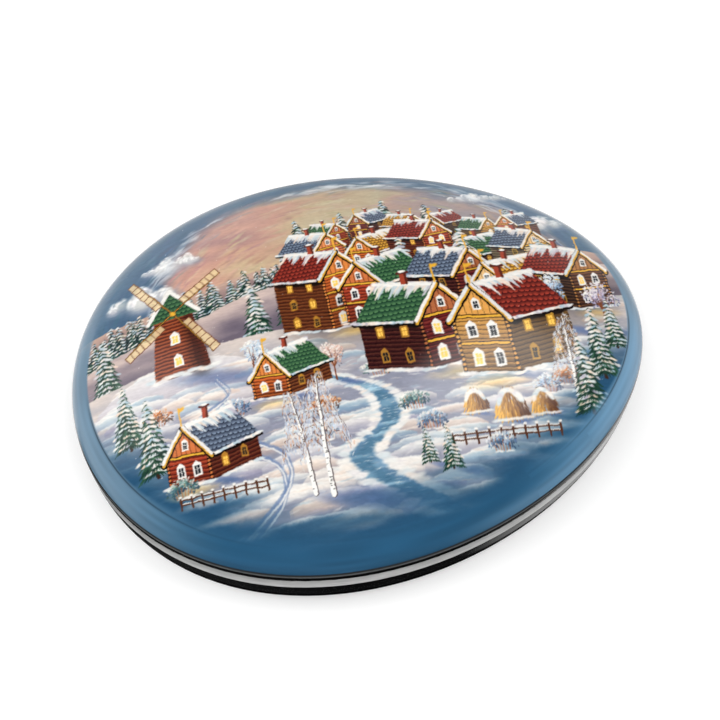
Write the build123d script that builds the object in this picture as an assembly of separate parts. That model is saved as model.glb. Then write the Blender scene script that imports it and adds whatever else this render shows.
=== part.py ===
from build123d import *
import os
from math import asin, cos, pi, radians, sin, sqrt

# Egg-shaped lacquer box with a domed lid on a hinge. Millimetres, +Z up, resting on Z = 0.
# The front faces -Y, the hinge is at the back (+Y) and the narrower end points along +X.

# Outline
LENGTH = 140.0          # end to end along X
HALF_WIDTH = 52.0       # half of the width along Y, before the egg taper widens it a little
EGG_TAPER = 0.095       # how much narrower the +X end is than the -X end
OUTLINE_POINTS = 32     # points on each closed egg curve

# Body
SEAM_HEIGHT = 16.0      # top edge of the body wall
BAND_HEIGHT = 5.0       # straight upper part of the wall, where the silver band is painted
FOOT_INSET = 1.2        # how far the wall curves in at the bottom
FOOT_ROUND = 1.2        # rounding of the bottom edge
WALL = 5.0              # thickness of the body wall
BASE_THICKNESS = 4.0    # bottom panel
LIP_THICKNESS = 1.8     # inner ring
LIP_RISE = 3.0          # how far the inner ring stands above the seam
LIP_ROUND = 0.5         # rounding of the inner ring's upper edges
LIP_CLEARANCE = 0.3     # between the inner ring and the lid ring

# Lid
SEAM_GAP = 0.2          # between the closed lid and the body
EDGE_ROUND = 0.4        # rounding of the two outer edges at the seam
RIM_STRAIGHT = 0.7      # upright part of the lid's side
RIM_RADIUS = 9.6        # the shoulder's curve above it
RIM_SWEEP = 60.0        # degrees of that curve
RING_HEIGHT = 4.5       # the lid ring, up to the joint with the domed top
DOME_RISE = 12.5        # the domed top above the shoulder
DOME_FULLNESS = 2.3     # 2 is a plain parabola, more is flatter in the middle
DOME_THICKNESS = 4.0    # at the middle of the domed top

# Hinge
HINGE_LENGTH = 27.0     # barrel and leaves
KNUCKLE_COUNT = 5       # body and lid knuckles by turns
KNUCKLE_RADIUS = 1.3
KNUCKLE_GAP = 0.1       # between neighbouring knuckles
CHANNEL_CLEARANCE = 0.2  # around the barrel, in the walls and the other leaf
CHANNEL_END_GAP = 0.3   # at each end of the barrel
STOP_ANGLE = 106.0      # where the back edges of lid and body would meet
LEAF_THICKNESS = 0.8
LEAF_REACH = 3.4        # from the hinge axis inwards
PIN_RADIUS = 0.5
PIN_CLEARANCE = 0.05    # in the lid's knuckles, where the pin turns
NAIL_RADIUS = 0.5
NAIL_LENGTH = 4.0
NAIL_DISTANCE = 2.4     # from the hinge axis inwards
NAIL_PITCH = 9.5
NAIL_COUNT = 3

# Sizes that follow from those above
TAPER_ROOT = -2.0 * EGG_TAPER / (1.0 + sqrt(1.0 + 8.0 * EGG_TAPER ** 2))
BACK_X = LENGTH / 2.0 * TAPER_ROOT
BACK_REACH = HALF_WIDTH * sqrt(1.0 - TAPER_ROOT ** 2) * (1.0 - EGG_TAPER * TAPER_ROOT)
CHANNEL_RADIUS = KNUCKLE_RADIUS + CHANNEL_CLEARANCE
AXIS_INSET = CHANNEL_RADIUS * cos(radians(STOP_ANGLE / 2.0))
CENTRE_Y = -(KNUCKLE_RADIUS - AXIS_INSET) / 2.0
AXIS_Y = CENTRE_Y + BACK_REACH - AXIS_INSET
AXIS_Z = SEAM_HEIGHT + SEAM_GAP / 2.0
LID_BOTTOM = SEAM_HEIGHT + SEAM_GAP
LID_JOINT = LID_BOTTOM + RING_HEIGHT
JOINT_SWEEP = asin((RING_HEIGHT - RIM_STRAIGHT) / RIM_RADIUS)
SHOULDER_INSET = RIM_RADIUS * (1.0 - cos(radians(RIM_SWEEP)))
SHOULDER_TOP = LID_BOTTOM + RIM_STRAIGHT + RIM_RADIUS * sin(radians(RIM_SWEEP))
LID_INNER_INSET = WALL - LIP_CLEARANCE
KNUCKLE_PITCH = HINGE_LENGTH / KNUCKLE_COUNT
DOME_STEPS = (1.0, 0.86, 0.7, 0.52, 0.34, 0.17, 0.04)


def egg(half_length, half_width, height):
    """One closed egg curve."""
    points = []
    for i in range(OUTLINE_POINTS):
        turn = 2.0 * pi * i / OUTLINE_POINTS
        x = half_length * cos(turn)
        y = CENTRE_Y + half_width * sin(turn) * (1.0 - EGG_TAPER * cos(turn))
        points.append((x, y, height))
    return Wire([Edge.make_spline(points, periodic=True)])


def inset_egg(inset, height):
    """The outline drawn in by an even amount."""
    return egg(LENGTH / 2.0 - inset, HALF_WIDTH - inset, height)


def slab(inset, low, high):
    """An upright egg-shaped block."""
    return extrude(Face(inset_egg(inset, low)), amount=high - low, dir=(0, 0, 1))


def outer_edges(shape, height):
    """The longest edge loop at one height."""
    found = [e for e in shape.edges() if abs(e.center().Z - height) < 0.01]
    return [max(found, key=lambda e: e.length)]


def body_outside():
    """Straight band above, a slow curve inwards below."""
    drop = SEAM_HEIGHT - BAND_HEIGHT
    curve = (drop ** 2 + FOOT_INSET ** 2) / (2.0 * FOOT_INSET)
    sections = []
    for share in (0.0, 0.25, 0.5, 0.75, 1.0):
        height = share * drop
        inset = curve - sqrt(curve ** 2 - (drop - height) ** 2)
        sections.append(inset_egg(inset, height))
    return Solid.make_loft(sections) + slab(0.0, drop, SEAM_HEIGHT)


def shoulder(first_sweep, last_sweep):
    """Part of the lid's rounded side, between two angles of its curve in radians."""
    sections = []
    for share in (0.0, 0.25, 0.5, 0.75, 1.0):
        sweep = first_sweep + share * (last_sweep - first_sweep)
        height = LID_BOTTOM + RIM_STRAIGHT + RIM_RADIUS * sin(sweep)
        sections.append(inset_egg(RIM_RADIUS * (1.0 - cos(sweep)), height))
    return Solid.make_loft(sections)


def crown(inset, low, rise):
    """A low dome on an egg-shaped foot."""
    sections = []
    for share in DOME_STEPS:
        height = low + rise * (1.0 - share ** DOME_FULLNESS)
        sections.append(egg(share * (LENGTH / 2.0 - inset), share * (HALF_WIDTH - inset), height))
    return Solid.make_loft(sections)


def rod(radius, start_x, length):
    """A round bar along the hinge axis."""
    bar = Cylinder(radius, length, rotation=(0, 90, 0))
    return Pos(start_x + length / 2.0, AXIS_Y, AXIS_Z) * bar


def hinge_start():
    return BACK_X - HINGE_LENGTH / 2.0


def hinge_channel():
    """The groove that the barrel lies in."""
    return rod(CHANNEL_RADIUS, hinge_start() - CHANNEL_END_GAP, HINGE_LENGTH + 2.0 * CHANNEL_END_GAP)


def leaf_plate(low):
    """The flat of one leaf, from the axis inwards."""
    plate = Box(HINGE_LENGTH, LEAF_REACH, LEAF_THICKNESS)
    return Pos(BACK_X, AXIS_Y - LEAF_REACH / 2.0, low + LEAF_THICKNESS / 2.0) * plate


def nails(low):
    """The row of nails through one leaf."""
    row = []
    for i in range(NAIL_COUNT):
        x = BACK_X + (i - (NAIL_COUNT - 1) / 2.0) * NAIL_PITCH
        place = Pos(x, AXIS_Y - NAIL_DISTANCE, low + NAIL_LENGTH / 2.0)
        row.append(place * Cylinder(NAIL_RADIUS, NAIL_LENGTH))
    return row


def knuckle(index):
    start = hinge_start() + index * KNUCKLE_PITCH + KNUCKLE_GAP / 2.0
    return rod(KNUCKLE_RADIUS, start, KNUCKLE_PITCH - KNUCKLE_GAP)


def knuckle_room(index):
    """Room in a leaf for the other leaf's knuckle."""
    start = hinge_start() + index * KNUCKLE_PITCH - KNUCKLE_GAP / 2.0
    return rod(CHANNEL_RADIUS, start, KNUCKLE_PITCH + KNUCKLE_GAP)


def leaf(low, own, other, bore, leaf_nails):
    """One hinge leaf: its plate, its knuckles, the pin's bore and the nail holes."""
    shape = leaf_plate(low)
    for index in other:
        shape -= knuckle_room(index)
    for index in own:
        shape += knuckle(index)
    shape -= rod(bore, hinge_start(), HINGE_LENGTH)
    for nail in leaf_nails:
        shape -= nail
    return shape


def cut_for_hinge(shape, low, leaf_nails):
    """Channel, leaf recess and nail holes in a wall."""
    shape -= hinge_channel()
    shape -= leaf_plate(low)
    for nail in leaf_nails:
        shape -= nail
    return shape


def make_body_wall(leaf_nails):
    shape = body_outside() - slab(WALL, -1.0, SEAM_HEIGHT + 1.0)
    shape = fillet(outer_edges(shape, 0.0), FOOT_ROUND)
    shape = fillet(outer_edges(shape, SEAM_HEIGHT), EDGE_ROUND)
    return cut_for_hinge(shape, SEAM_HEIGHT - LEAF_THICKNESS, leaf_nails)


def make_base_plate():
    return slab(WALL, 0.0, BASE_THICKNESS)


def make_locating_lip():
    top = SEAM_HEIGHT + LIP_RISE
    shape = slab(WALL, BASE_THICKNESS, top) - slab(WALL + LIP_THICKNESS, BASE_THICKNESS - 1.0, top + 1.0)
    upper = [e for e in shape.edges() if abs(e.center().Z - top) < 0.01]
    return fillet(upper, LIP_ROUND)


def make_lid_rim(leaf_nails):
    upright = slab(0.0, LID_BOTTOM, LID_BOTTOM + RIM_STRAIGHT)
    shape = upright + shoulder(0.0, JOINT_SWEEP)
    shape -= slab(LID_INNER_INSET, LID_BOTTOM - 1.0, LID_JOINT + 1.0)
    shape = fillet(outer_edges(shape, LID_BOTTOM), EDGE_ROUND)
    return cut_for_hinge(shape, LID_BOTTOM, leaf_nails)


def make_lid_dome():
    top = SHOULDER_TOP + DOME_RISE
    shape = shoulder(JOINT_SWEEP, radians(RIM_SWEEP)) + crown(SHOULDER_INSET, SHOULDER_TOP, DOME_RISE)
    return shape - crown(LID_INNER_INSET, LID_JOINT, top - DOME_THICKNESS - LID_JOINT)


def main():
    body_nails = nails(SEAM_HEIGHT - NAIL_LENGTH)
    lid_nails = nails(LID_BOTTOM)
    body_knuckles = range(0, KNUCKLE_COUNT, 2)
    lid_knuckles = range(1, KNUCKLE_COUNT, 2)
    body_low = SEAM_HEIGHT - LEAF_THICKNESS
    lid_bore = PIN_RADIUS + PIN_CLEARANCE
    pieces = {
        "base_plate": make_base_plate(),
        "body_wall": make_body_wall(body_nails),
        "locating_lip": make_locating_lip(),
        "lid_rim": make_lid_rim(lid_nails),
        "lid_dome": make_lid_dome(),
        "hinge_leaf_body": leaf(body_low, body_knuckles, lid_knuckles, PIN_RADIUS, body_nails),
        "hinge_leaf_lid": leaf(LID_BOTTOM, lid_knuckles, body_knuckles, lid_bore, lid_nails),
        "hinge_pin": rod(PIN_RADIUS, hinge_start(), HINGE_LENGTH),
        "hinge_body_pins": Compound(children=body_nails),
        "hinge_lid_pins": Compound(children=lid_nails),
    }
    os.makedirs("parts", exist_ok=True)
    for name, shape in pieces.items():
        export_step(shape, "parts/" + name + ".step")


main()
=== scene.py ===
import math

import bpy
import numpy as np
from mathutils import Matrix, Vector


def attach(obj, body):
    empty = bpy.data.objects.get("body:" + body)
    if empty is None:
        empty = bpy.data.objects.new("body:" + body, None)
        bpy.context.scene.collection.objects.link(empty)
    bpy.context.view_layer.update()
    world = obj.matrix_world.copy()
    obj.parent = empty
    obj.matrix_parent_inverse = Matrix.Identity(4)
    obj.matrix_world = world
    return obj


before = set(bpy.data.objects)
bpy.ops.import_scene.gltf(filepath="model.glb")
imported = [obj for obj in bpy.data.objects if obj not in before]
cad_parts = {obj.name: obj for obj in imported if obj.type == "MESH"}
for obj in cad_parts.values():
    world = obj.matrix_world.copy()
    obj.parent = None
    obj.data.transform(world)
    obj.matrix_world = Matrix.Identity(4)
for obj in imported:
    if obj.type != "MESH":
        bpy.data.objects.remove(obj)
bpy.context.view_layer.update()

# Sizes of the box, in millimetres, as the solids have them
MM = 0.001
HALF_LENGTH = 70.0
HALF_WIDTH = 52.0
EGG_TAPER = 0.095
CENTRE_Y = -0.19864
SEAM_HEIGHT = 16.0
BAND_HEIGHT = 5.0
LID_BOTTOM = 16.2
RIM_STRAIGHT = 0.7
RIM_RADIUS = 9.6
RIM_SWEEP = math.radians(60.0)
SHOULDER_TOP = LID_BOTTOM + RIM_STRAIGHT + RIM_RADIUS * math.sin(RIM_SWEEP)
DOME_RISE = 12.5
DOME_FULLNESS = 2.3

# The painted skin of the lid
SKIN_GRID = 640           # points along each side of its square grid
SKIN_PROUD = 0.08         # how far the paint stands off the board
SKIN_SUNK = 0.06          # how far its hidden underside lies inside the board
SKIN_FOOT = 0.45          # height of its lower edge above the lid's own edge
HINGE_FOOT = 1.75         # the same above the hinge, clear of its channel
HINGE_MIDDLE = -6.5
HINGE_REACH = 15.2        # half the length that is kept clear
CREASE_RADIUS = 0.90      # where the shoulder starts on the unit disc
UNDER_RINGS = 10
OUTSIDE_SHARE = 0.92      # height of the bake map that the outside takes

# Paint of the border, in display values, with painted reflection that lightens its right side and in part its
# ends and back; and heights above the lid's lower edge
BORDER_FRONT = (0.135, 0.312, 0.435)
# Painted reflection: lighter blue on the front right, and lighter still towards the lower edge there
BORDER_RIGHT_SHEEN = (0.395, 0.553, 0.668)
BORDER_LOW_SHEEN = (0.44, 0.58, 0.69)     # towards its lower edge at the right
BORDER_LOW_SHEEN_SHARE = 0.56
BORDER_ENDS = (0.355, 0.474, 0.560)
BORDER_BACK = (0.240, 0.335, 0.415)
SKY_OVER_BORDER = 0.75    # how much of the painted sky runs on over the border at the back
CREASE_TONE = (0.07, 0.10, 0.13)
CREASE_SHARE = 0.65
CREASE_WIDTH = 0.0036
EDGE_TONES = ((3.2, (0.16, 0.165, 0.17)), (2.35, (0.42, 0.43, 0.43)), (1.75, (0.02, 0.02, 0.022)))
EDGE_SOFT = 0.12

# Colours of the other materials, in linear values
BLACK = (0.004, 0.004, 0.0045)
RED = (0.36, 0.02, 0.012)
BRASS = (0.78, 0.57, 0.27)
STEEL = (0.62, 0.61, 0.59)
SILVER_DULL = (0.34, 0.34, 0.34)
SILVER_BRIGHT = (0.62, 0.62, 0.61)
# Fineness of their grain, in waves per metre
BRUSH_GRAIN = 900.0
LACQUER_GRAIN = 60.0
METAL_GRAIN = 700.0
SILVER_GRAIN = (180.0, 180.0, 1400.0)

# The photograph's view, in millimetres: a lens of 1500 pixels on a 720 pixel frame
CAMERA_TURN = math.radians(12.35)
CAMERA_RISE = math.radians(64.32)
CAMERA_DISTANCE = 380.7
CAMERA_RIGHT = -0.06
CAMERA_UP = 8.40
LENS_MM = 75.0
SENSOR_MM = 36.0

# The studio, in metres and watts: place, size and power of each light
LIGHTS = {
    "overhead": ((-0.12, -0.10, 1.2), (1.8, 1.8), 15.3),
    "left_key": ((-0.95, 0.10, 0.85), (0.7, 0.7), 3.4),
    "front_fill": ((0.0, -1.2, 0.75), (1.8, 1.0), 9.0),
}
FLOOR_RADIUS = 1.0
FLOOR_DROP = 0.00005
FLOOR_GLOW = 0.20         # the floor's own light as far as FLOOR_NEAR, and it is 1 from FLOOR_FAR on
FLOOR_NEAR = 0.25
FLOOR_FAR = 0.60
BACKDROP_HEIGHT = 1.0
SHADE_DROP = 0.0001
STAGE_SIDES = 96
# The white tent that the lacquer mirrors: each part has an axis, where it starts and ends along that, and
# its strengths there; the gap is where the two sides of the tent meet behind the box
TENT = {
    "back": ("Y", -0.55, 0.25, 0.05, 1.0),
    "low": ("Z", 0.20, 0.62, 1.0, 0.02),
    "above": ("Z", -0.75, -0.30, 0.02, 1.0),
    "behind": ("Y", 0.27, 0.42, 0.0, 1.0),
    "right": ("X", 0.20, 0.30, 0.0, 1.0),
    "right_table": ("Y", -0.19, -0.07, 0.0, 0.65),
    "left_of_gap": ("X", -0.10, 0.04, 1.0, 0.6),
    "right_of_gap": ("X", 0.26, 0.44, 0.6, 1.0),
}
# Softboxes up on the right and on the left, seen as a haze in the lacquer: direction and strength
GLOWS = (((0.50, 0.03, 0.866), 3.2), ((-0.62, 0.33, 0.71), 1.3))
GLOW_EDGE = 0.93          # where a softbox fades out and where it is full, as cosines
GLOW_CORE = 0.995

# The picture on the lid, painted in plan: millimetres, X to the right and Y towards the hinge
PIXELS_PER_MM = 10
CANVAS_HALF_X = 71.0
CANVAS_HALF_Y = 54.0
RNG = np.random.default_rng(41)     # every random draw of the picture comes from here, in order
PICTURE_HALF_X = 65.2
PICTURE_HALF_Y = 47.2
WAVER = 0.26              # how far painted edges stray
SKY_STROKES = 1500
FLAKES = 200

# Paints, in display values
SNOW_LIGHT = (0.89, 0.875, 0.85)
SNOW_SHADE = (0.55, 0.67, 0.74)
SNOW_LILAC = (0.62, 0.59, 0.67)
SNOW_WARM = (0.88, 0.77, 0.68)
WATER_DEEP = (0.13, 0.29, 0.41)
WATER_LIGHT = (0.47, 0.61, 0.69)
ICE_GLINT = (0.74, 0.86, 0.91)
BANK_SHADE = (0.38, 0.50, 0.62)
RUT_SHADE = (0.40, 0.48, 0.62)
LONG_SHADE = (0.34, 0.41, 0.57)
OUTLINE = (0.045, 0.02, 0.02)
GOLD = (0.86, 0.64, 0.20)
BRASSY = (0.93, 0.66, 0.34)
LAMP_LIT = (0.99, 0.78, 0.34)
PANE_DIM = (0.05, 0.07, 0.10)
LOG_LIT = (1.0, 0.80, 0.48)
CHIMNEY = (0.60, 0.24, 0.16)
CHIMNEY_CAP = (0.30, 0.12, 0.10)
MILL_WOOD = (0.44, 0.19, 0.12)
MILL_LIT = (0.72, 0.38, 0.20)
SAIL_LATH = (0.40, 0.20, 0.12)
SAIL_CLOTH = (0.86, 0.76, 0.58)
SAIL_POLE = (0.20, 0.09, 0.07)
FENCE_WOOD = (0.30, 0.17, 0.11)
HAY_DARK = (0.30, 0.15, 0.06)
HAY_LIT = (0.90, 0.68, 0.30)
HAY_SHADE = (0.38, 0.46, 0.60)
FIR_GREEN = (0.06, 0.18, 0.14)
FIR_LIT = (0.22, 0.38, 0.27)
FIR_TRUNK = (0.20, 0.12, 0.09)
RIDGE_GREEN = (0.05, 0.11, 0.11)
FOREST_GREEN = (0.06, 0.14, 0.15)
BARK = (0.45, 0.24, 0.14)
BUSH_STEM = (0.66, 0.34, 0.14)
BIRCH_WHITE = (0.92, 0.91, 0.89)
BIRCH_SHADE = (0.30, 0.25, 0.25)
BIRCH_TWIG = (0.38, 0.24, 0.18)
BIRCH_FROST = (0.62, 0.68, 0.78)
BIRCH_LEAF = (0.80, 0.60, 0.45)
FROST_DEEP = (0.12, 0.20, 0.32)
FROSTS = ((0.66, 0.75, 0.84), (0.72, 0.66, 0.76), (0.82, 0.64, 0.56))
LEAVES = ((0.78, 0.40, 0.12), FROSTS[0], (0.28, 0.46, 0.44), (0.42, 0.55, 0.68))
CLOUD_SHADE = (0.50, 0.54, 0.60)
CLOUD_BODY = (0.78, 0.77, 0.76)
CLOUD_LIT = (0.94, 0.93, 0.92)
SLATE_DEEP = (0.24, 0.35, 0.46)
SLATE_RIM = (0.30, 0.41, 0.50)
WALLS = {
    "brick": (0.62, 0.20, 0.12),
    "ochre": (0.76, 0.55, 0.26),
    "maroon": (0.40, 0.10, 0.11),
    "salmon": (0.78, 0.39, 0.27),
    "cream": (0.84, 0.77, 0.62),
    "orange": (0.74, 0.33, 0.13),
    "brown": (0.36, 0.20, 0.12),
}
ROOFS = {
    "green": ((0.05, 0.16, 0.12), (0.30, 0.47, 0.30)),
    "maroon": ((0.20, 0.04, 0.05), (0.62, 0.22, 0.16)),
    "gold": ((0.30, 0.16, 0.05), (0.88, 0.66, 0.24)),
    "slate": ((0.12, 0.14, 0.20), (0.46, 0.52, 0.60)),
}

# Tones of the sky from left to right
SKY_STOPS = [
    (-52, (0.68, 0.52, 0.50)),
    (-30, (0.76, 0.58, 0.51)),
    (-8, (0.72, 0.63, 0.51)),
    (12, (0.69, 0.64, 0.53)),
    (30, (0.65, 0.54, 0.49)),
    (54, (0.51, 0.48, 0.50)),
]
# Where the blue starts, as a share of the picture's reach, by turns from the right end round to the left
BLUE_TURNS = (0, 35, 75, 110, 135, 155, 180)
BLUE_STARTS = (0.86, 0.91, 0.955, 0.945, 0.87, 0.77, 0.74)
# Clouds: place, width and height; and sweeps of cloud: strokes, tones, how far inward, and strength
CLOUDS = ((-54, 13, 13, 6), (-49, 22, 15, 7), (-40, 30, 14, 5), (37, 34, 15, 4), (51, 23, 13, 5))
DARK_SWEEP = (300, ((0.52, 0.47, 0.50), (0.62, 0.56, 0.58)), 0.03, 0.5)
LIGHT_SWEEP = (420, ((0.66, 0.70, 0.74), (0.93, 0.93, 0.92)), 0.01, 0.65)

# Fields: crest line as level, swell, wave length, phase and bow; tones of crest and foot; depth
FAR_FIELD = ((22.0, 1.2, 15.0, 0.7, 9.0), (0.72, 0.60, 0.54), (0.42, 0.35, 0.38), 7.0)
MIDDLE_FIELD = ((14.0, 1.3, 13.0, 2.6, 7.0), (0.76, 0.68, 0.65), (0.40, 0.36, 0.41), 8.0)
NEAR_FIELD = ((4.0, 1.0, 18.0, 4.4, 6.0), (0.79, 0.74, 0.71), (0.52, 0.53, 0.59), 18.0)
# Lines on the ground, from far to near, and their widths at both ends
STREAM = ((-16, -3), (-11, -10), (0, -16), (2, -23), (-6, -30), (2, -38), (18, -48))
STREAM_WIDTHS = (1.4, 9.0)
TRACK = ((-35, -5), (-33, -10), (-42, -15), (-33, -21), (-24, -27), (-25, -35), (-38, -44))
TRACK_WIDTHS = (0.7, 3.4)
SNOW_FIELD = (-46, 1.5, 210)        # near and far edge, and how many drifts
# Rows of houses: foot, how much lower at the ends, size, places, number of the first colour, and windows
FAR_ROW = (22.2, 7.0, 4.6, (-2, 8, 17, 26, 35, 44), 0, 1)
UPPER_ROW = (12.4, 7.0, 6.8, (-6, 8, 20, 32, 44), 3, 2)
MIDDLE_ROW = (0.4, 4.0, 9.2, (-6, 7, 25, 37, 53), 5, 2)
# Houses, mill, trees and farmyard on their own: place, size and what else each needs
NEAR_HOUSES = ((14, -13.5, 11.5, "maroon", "green", -1, 2), (34, -17.0, 12.5, "ochre", "maroon", 1, 2),
               (-19, -13.0, 8.0, "orange", "green", 1, 1), (-40, -27.0, 9.5, "brick", "slate", 1, 1))
MILL = (-42, -1.5, 27.0, 0.55)
MILL_HILL = (-43, -7.0, 46.0, 9.0)
RIDGE_FIRS = ((-9, 21, 14), (2, 22, 13), (13, 21.5, 16), (23, 21, 13), (43, 17, 13))
FOREST = (-63, -16, 26)             # from, to, and how many firs
TOWN_FIRS = ((-14, 5, 19), (14, 6.5, 17), (29, 5.5, 19), (48, 3, 16), (60, -2, 13), (-60, -2, 17),
             (-23, 0, 18))
NEAR_FIRS = ((-57, -15, 16), (-52, -23, 19), (60, -13, 13), (55, -20, 18), (50, -28, 19), (9, -34, 8),
             (14, -36, 10))
FROSTED = ((-26, -9, 11), (9, -5, 13), (20, -5, 12), (47, -7, 14), (59, -8, 13), (-8, -12, 9))
BUSHES = ((-12, -19), (-14, -25), (8, -22), (11, -27), (45, -21), (40, -22.5), (-47, -29), (-32, -15),
          (-50, -12), (-46, -20), (2, -13), (26, -34))
BUSH_SIZE = (6.0, 4.4)
BIRCHES = ((-14, -36.5, 27, 0.05), (-18, -35.5, 23, -0.06), (47, -26.5, 22, 0.03))
HAYSTACKS = ((22, -25, 6.0), (30, -27.5, 8.0), (38, -27, 6.5))
FENCES = ((15, -31.5, 41, -32.0, 3.0), (-48, -31.5, -28, -32.5, 2.8))
# Shapes: frame and pane in shares of half a window's width and height, the tower in shares of the mill's half
# width and its height, and a sail along and across in shares of the mill's height
FRAME_SHAPE = ((-1.35, -1.3), (1.35, -1.3), (1.35, 1.2), (0, 2.0), (-1.35, 1.2))
PANE_SHAPE = ((-0.8, -0.9), (0.8, -0.9), (0.8, 0.9), (-0.8, 0.9))
PANE_BARS = (((0, -0.9), (0, 0.9)), ((-0.8, 0.2), (0.8, 0.2)))
TOWER_SHAPE = ((-1.15, 0), (1.15, 0), (0.78, 0.58), (-0.78, 0.58))
SAIL_SHAPE = ((0.14, 0), (0.56, 0), (0.56, 0.075), (0.14, 0.075))


# Painting tools

class Canvas:
    """A painter's canvas in plan millimetres."""

    def __init__(self, half_x, half_y, scale):
        self.half_x = half_x
        self.half_y = half_y
        self.scale = scale
        self.columns = int(2 * half_x * scale)
        self.rows = int(2 * half_y * scale)
        self.rgb = np.zeros((self.rows, self.columns, 3), np.float32)

    def span(self, low, high, half, count):
        """Pixels between two places along one side, and where their middles are."""
        first = max(0, int((low + half) * self.scale))
        last = min(count, int((high + half) * self.scale) + 2)
        return slice(first, last), (np.arange(first, last) + 0.5) / self.scale - half

    def window(self, low_x, high_x, low_y, high_y):
        """The part of the canvas in that box, with the X and Y of its pixels."""
        columns, x = self.span(low_x, high_x, self.half_x, self.columns)
        rows, y = self.span(low_y, high_y, self.half_y, self.rows)
        return self.rgb[rows, columns], x[None, :], y[:, None]

    def around(self, points, reach):
        """The part of the canvas round some points."""
        xs, ys = zip(*points)
        return self.window(min(xs) - reach, max(xs) + reach, min(ys) - reach, max(ys) + reach)

    def whole(self):
        return self.window(-self.half_x, self.half_x, -self.half_y, self.half_y)

    def fill(self, points, colour, soft=0.07, alpha=1.0, fade=0.0):
        """A filled polygon; colour is one colour or a function of X and Y, and fade dissolves its foot."""
        region, x, y = self.around(points, soft)
        cover = alpha * soft_edge(polygon_depth(points, x, y), soft)
        if fade:
            cover = cover * clamp((y - min(point[1] for point in points)) / fade)
        lay(region, cover, colour(x, y) if callable(colour) else colour)

    def stroke(self, points, start_width, end_width, colour, alpha=1.0, soft=0.06):
        """A brush stroke along a line of points, tapering between two widths."""
        region, x, y = self.around(points, max(start_width, end_width) / 2.0 + soft)
        depth = np.full(region.shape[:2], -1e9, np.float32)
        count = len(points) - 1
        for i in range(count):
            share, distance = along_line(points[i], points[i + 1], x, y)
            width = start_width + (end_width - start_width) * (i + share) / count
            depth = np.maximum(depth, width / 2.0 - distance)
        lay(region, alpha * soft_edge(depth, soft), colour)

    def line(self, start, end, width, colour, alpha=1.0):
        """A straight stroke of one width."""
        self.stroke([start, end], width, width, colour, alpha)

    def dab(self, x0, y0, length, width, angle, colour, alpha=1.0, hard=0.45):
        """One oval touch of the brush."""
        region, x, y = self.around([(x0, y0)], max(length, width) / 2.0)
        ca, sa = np.cos(angle), np.sin(angle)
        along = ((x - x0) * ca + (y - y0) * sa) / (length / 2.0)
        across = ((y - y0) * ca - (x - x0) * sa) / (width / 2.0)
        radius = np.sqrt(along * along + across * across)
        lay(region, alpha * clamp((1.0 - radius) / (1.0 - hard)), colour)

    def below(self, line, colour, soft=0.12):
        """Everything under a line that runs from left to right."""
        xs, ys = zip(*line)
        region, x, y = self.window(min(xs), max(xs), -self.half_y, max(ys) + soft)
        lay(region, soft_edge(np.interp(x, xs, ys) - y, soft), colour(x, y))


def clamp(value):
    """Values kept between 0 and 1."""
    return np.clip(value, 0.0, 1.0)


def soft_edge(depth, soft):
    """How much a shape covers a place, from the depth inside its edge."""
    return clamp(0.5 + depth / (2.0 * soft))


def between(start, end, share):
    """A place on the straight line from one point to another."""
    return start[0] + (end[0] - start[0]) * share, start[1] + (end[1] - start[1]) * share


def placed(x0, y0, wide, tall, shape):
    """Points of a shape that is given in shares of a width and a height."""
    return [(x0 + wide * u, y0 + tall * v) for u, v in shape]


def lay(region, cover, colour):
    """Blends a colour, or a field of colours, over part of a canvas."""
    region += cover[..., None] * (np.asarray(colour, np.float32) - region)


def along_line(start, end, x, y):
    """Share along a straight line, and the distance from it."""
    dx, dy = end[0] - start[0], end[1] - start[1]
    share = clamp(((x - start[0]) * dx + (y - start[1]) * dy) / (dx * dx + dy * dy + 1e-9))
    return share, np.hypot(x - start[0] - share * dx, y - start[1] - share * dy)


def polygon_depth(points, x, y):
    """Distance inside a polygon, negative outside it."""
    inside = np.zeros(np.broadcast(x, y).shape, bool)
    nearest = np.full(inside.shape, 1e9, np.float32)
    for start, end in zip(points, points[1:] + points[:1]):
        nearest = np.minimum(nearest, along_line(start, end, x, y)[1])
        rise = end[1] - start[1]
        if rise != 0.0:
            crossing = start[0] + (end[0] - start[0]) * (y - start[1]) / rise
            inside ^= ((start[1] > y) != (end[1] > y)) & (x < crossing)
    return np.where(inside, nearest, -nearest)


def mixed(first, second, share):
    """A colour, or a field of colours, between two."""
    share = np.asarray(share, np.float32)[..., None] if np.ndim(share) else share
    return np.asarray(first, np.float32) * (1.0 - share) + np.asarray(second, np.float32) * share


def smooth_step(low, high, value):
    share = clamp((value - low) / (high - low))
    return share * share * (3.0 - 2.0 * share)


def smooth_noise(x, y, cell_x, cell_y):
    """Soft random values from 0 to 1 over a field of X and Y, one per cell."""
    x, y = np.broadcast_arrays(x, y)
    grid = RNG.random((int(2 * CANVAS_HALF_Y / cell_y) + 4, int(2 * CANVAS_HALF_X / cell_x) + 4))
    gx = (x + CANVAS_HALF_X) / cell_x
    gy = (y + CANVAS_HALF_Y) / cell_y
    ix, iy = np.floor(gx).astype(int), np.floor(gy).astype(int)
    fx, fy = smooth_step(0.0, 1.0, gx - ix), smooth_step(0.0, 1.0, gy - iy)
    ix, iy = ix % (grid.shape[1] - 1), iy % (grid.shape[0] - 1)
    low = grid[iy, ix] * (1 - fx) + grid[iy, ix + 1] * fx
    high = grid[iy + 1, ix] * (1 - fx) + grid[iy + 1, ix + 1] * fx
    return low * (1 - fy) + high * fy


def ramp(stops, value):
    """Colours along a list of (place, colour) stops."""
    places = [s[0] for s in stops]
    return np.stack([np.interp(value, places, [s[1][i] for s in stops]) for i in range(3)], axis=-1)


def jitter(colour, amount=0.05):
    """A colour a little off, in lightness and in hue."""
    shift = RNG.uniform(-amount, amount) + RNG.uniform(-amount / 2, amount / 2, 3)
    return clamp(np.asarray(colour) + shift)


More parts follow.
